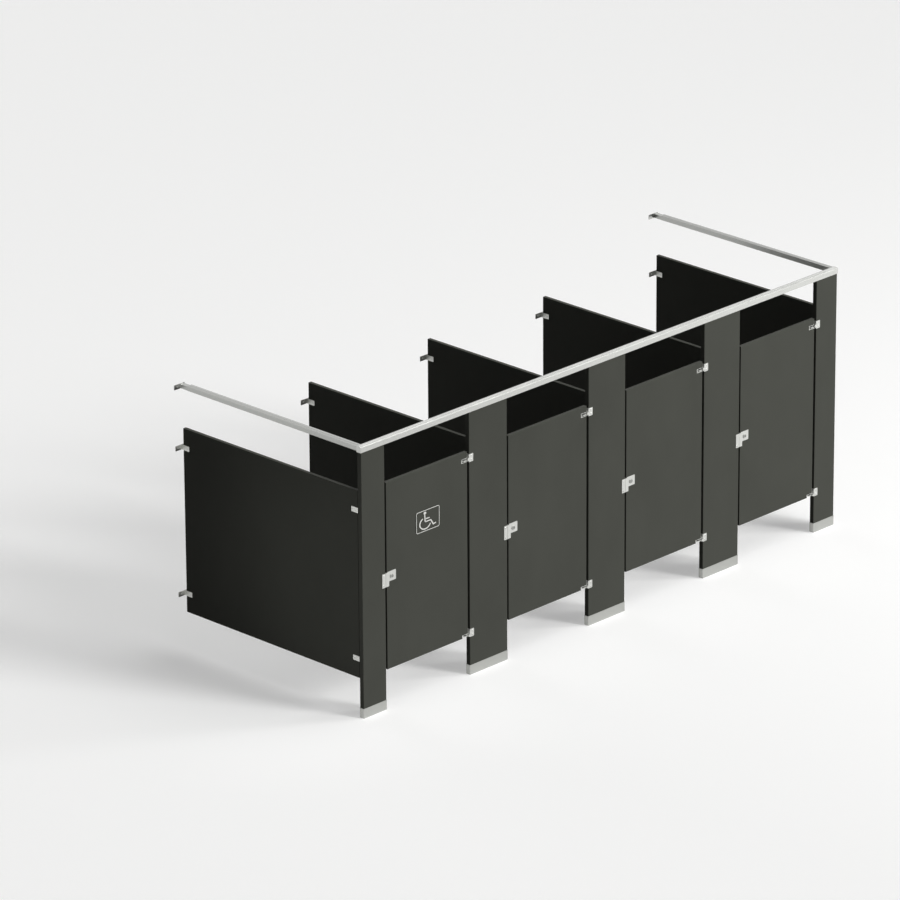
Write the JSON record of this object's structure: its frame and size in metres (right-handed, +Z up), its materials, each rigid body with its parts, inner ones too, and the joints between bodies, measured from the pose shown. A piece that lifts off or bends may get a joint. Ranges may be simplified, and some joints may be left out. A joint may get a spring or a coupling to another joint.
{
  "type": "bathroom stall partition",
  "caption": "Row of toilet stalls: floor-mounted pilasters under a headrail, divider panels bracketed to the wall, and in-swing doors with pin hinges and turn latches.",
  "frame": {"origin": "on the floor, under the middle of the whole row, which is also the middle from its foremost to its rearmost point", "axes": "+X along the fronts from the first stall to the last, +Y from the doors towards the wall, +Z up"},
  "size_m": [5.33, 1.885, 2.1355],
  "materials": {
    "board": "fine matt grain, solid colour right through",
    "rail_metal": "clear anodised, satin",
    "bracket_metal": "satin, fine grain",
    "shoe_metal": "stainless, brushed along its length",
    "latch_metal": "stainless, satin",
    "steel": "plated steel",
    "fastener": "stainless, smooth",
    "nylon": "black nylon",
    "rubber": "soft black pad"
  },
  "bodies": {
    "frame": {"pilaster_1": "board", "pilaster_2": "board", "pilaster_3": "board", "pilaster_4": "board", "pilaster_5": "board", "shoe_1": "shoe_metal", "shoe_2": "shoe_metal", "shoe_3": "shoe_metal", "shoe_4": "shoe_metal", "shoe_5": "shoe_metal", "panel_1": "board", "panel_2": "board", "panel_3": "board", "panel_4": "board", "panel_5": "board", "headrail_front": "rail_metal", "headrail_left": "rail_metal", "headrail_right": "rail_metal", "headrail_end_caps": "rail_metal", "headrail_corner_sockets": "steel", "headrail_wall_brackets": "rail_metal", "panel_wall_brackets": "bracket_metal", "panel_pilaster_brackets": "bracket_metal", "panel_bolts": "fastener", "top_hinge_brackets": "bracket_metal", "bottom_hinge_brackets": "bracket_metal", "hinge_pins": "steel", "hinge_bolts": "fastener", "keepers": "bracket_metal", "keeper_bumpers": "rubber", "keeper_bolts": "fastener", "levelling_feet": "steel", "levelling_nuts": "steel", "levelling_bars": "steel", "trim_screws": "fastener"},
    "door_1": {"door_1": "board", "hinge_liners_1": "bracket_metal", "hinge_bushes_1": "nylon", "latch_case_1": "latch_metal"},
    "turn_1": {"latch_turn_1": "latch_metal"},
    "bolt_1": {"latch_bolt_1": "steel"},
    "door_2": {"door_2": "board", "hinge_liners_2": "bracket_metal", "hinge_bushes_2": "nylon", "latch_case_2": "latch_metal"},
    "turn_2": {"latch_turn_2": "latch_metal"},
    "bolt_2": {"latch_bolt_2": "steel"},
    "door_3": {"door_3": "board", "hinge_liners_3": "bracket_metal", "hinge_bushes_3": "nylon", "latch_case_3": "latch_metal"},
    "turn_3": {"latch_turn_3": "latch_metal"},
    "bolt_3": {"latch_bolt_3": "steel"},
    "door_4": {"door_4": "board", "hinge_liners_4": "bracket_metal", "hinge_bushes_4": "nylon", "latch_case_4": "latch_metal"},
    "turn_4": {"latch_turn_4": "latch_metal"},
    "bolt_4": {"latch_bolt_4": "steel"}
  },
  "joints": [
    {"name": "door_1_hinge", "type": "hinge", "parent": "frame", "child": "door_1", "pos_m": [-1.52, -0.919, 1.046], "axis": [0, 0, -1], "range_deg": [0, 100]},
    {"name": "turn_1_spin", "type": "hinge", "parent": "door_1", "child": "turn_1", "pos_m": [-2.298, -0.919, 1.038], "axis": [0, -1, 0], "range_deg": [0, 90]},
    {"name": "bolt_1_slide", "type": "slide", "parent": "door_1", "child": "bolt_1", "axis": [-1, 0, 0], "range_m": [0, 0.0255]},
    {"name": "door_2_hinge", "type": "hinge", "parent": "frame", "child": "door_2", "pos_m": [-0.238, -0.919, 1.046], "axis": [0, 0, -1], "range_deg": [0, 100]},
    {"name": "turn_2_spin", "type": "hinge", "parent": "door_2", "child": "turn_2", "pos_m": [-1.016, -0.919, 1.038], "axis": [0, -1, 0], "range_deg": [0, 90]},
    {"name": "bolt_2_slide", "type": "slide", "parent": "door_2", "child": "bolt_2", "axis": [-1, 0, 0], "range_m": [0, 0.0255]},
    {"name": "door_3_hinge", "type": "hinge", "parent": "frame", "child": "door_3", "pos_m": [1.044, -0.919, 1.046], "axis": [0, 0, -1], "range_deg": [0, 100]},
    {"name": "turn_3_spin", "type": "hinge", "parent": "door_3", "child": "turn_3", "pos_m": [0.266, -0.919, 1.038], "axis": [0, -1, 0], "range_deg": [0, 90]},
    {"name": "bolt_3_slide", "type": "slide", "parent": "door_3", "child": "bolt_3", "axis": [-1, 0, 0], "range_m": [0, 0.0255]},
    {"name": "door_4_hinge", "type": "hinge", "parent": "frame", "child": "door_4", "pos_m": [2.326, -0.919, 1.046], "axis": [0, 0, -1], "range_deg": [0, 100]},
    {"name": "turn_4_spin", "type": "hinge", "parent": "door_4", "child": "turn_4", "pos_m": [1.548, -0.919, 1.038], "axis": [0, -1, 0], "range_deg": [0, 90]},
    {"name": "bolt_4_slide", "type": "slide", "parent": "door_4", "child": "bolt_4", "axis": [-1, 0, 0], "range_m": [0, 0.0255]}
  ],
  "couplings": [
    {"joint": "bolt_1_slide", "follows": "turn_1_spin", "m_per_rad": 0.016206},
    {"joint": "bolt_2_slide", "follows": "turn_2_spin", "m_per_rad": 0.016206},
    {"joint": "bolt_3_slide", "follows": "turn_3_spin", "m_per_rad": 0.016206},
    {"joint": "bolt_4_slide", "follows": "turn_4_spin", "m_per_rad": 0.016206}
  ]
}
